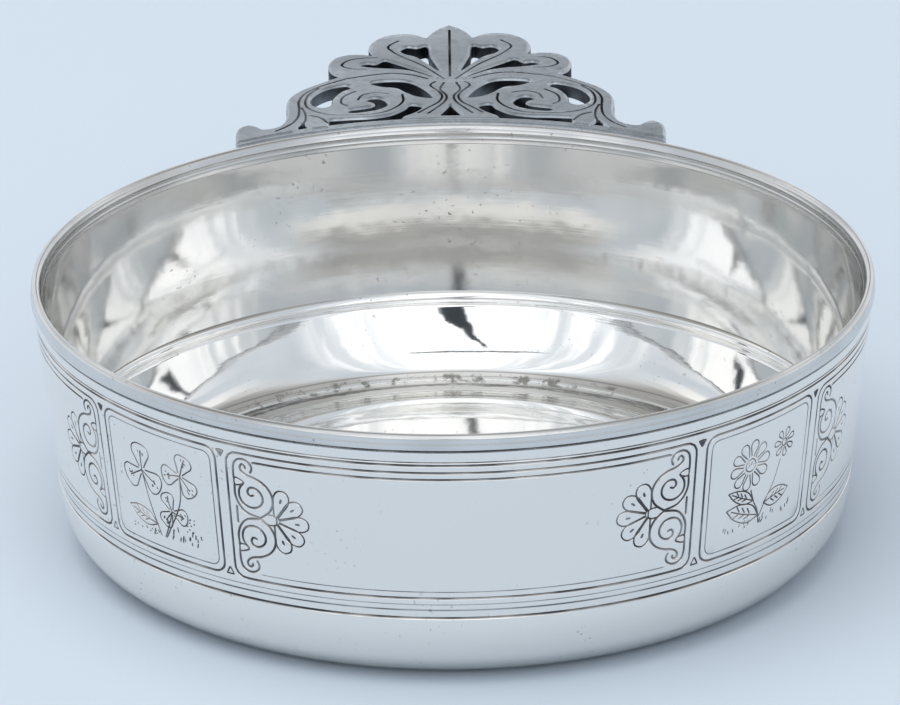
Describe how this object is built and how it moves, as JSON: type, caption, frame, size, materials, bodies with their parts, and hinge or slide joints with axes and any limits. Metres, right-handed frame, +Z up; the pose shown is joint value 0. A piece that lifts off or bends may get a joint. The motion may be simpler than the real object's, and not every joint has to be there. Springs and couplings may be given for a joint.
{
  "type": "porringer",
  "caption": "Low round silver bowl with an upright etched band, a moulded rim wire and one flat pierced scroll handle.",
  "frame": {"origin": "on the table, under the middle of the whole length and width", "axes": "+Z up out of the bowl's mouth, +Y from the bowl towards the tip of the handle, +X to the right when the handle points away"},
  "size_m": [0.127, 0.1732, 0.0414],
  "materials": {
    "bowl_silver": "polished silver with darkened etched lines",
    "rim_silver": "polished silver",
    "handle_silver": "greyed cast silver, dark in the piercings and chased lines"
  },
  "bodies": {
    "root": {"bowl": "bowl_silver", "rim_wire": "rim_silver", "handle": "handle_silver"}
  },
  "joints": []
}
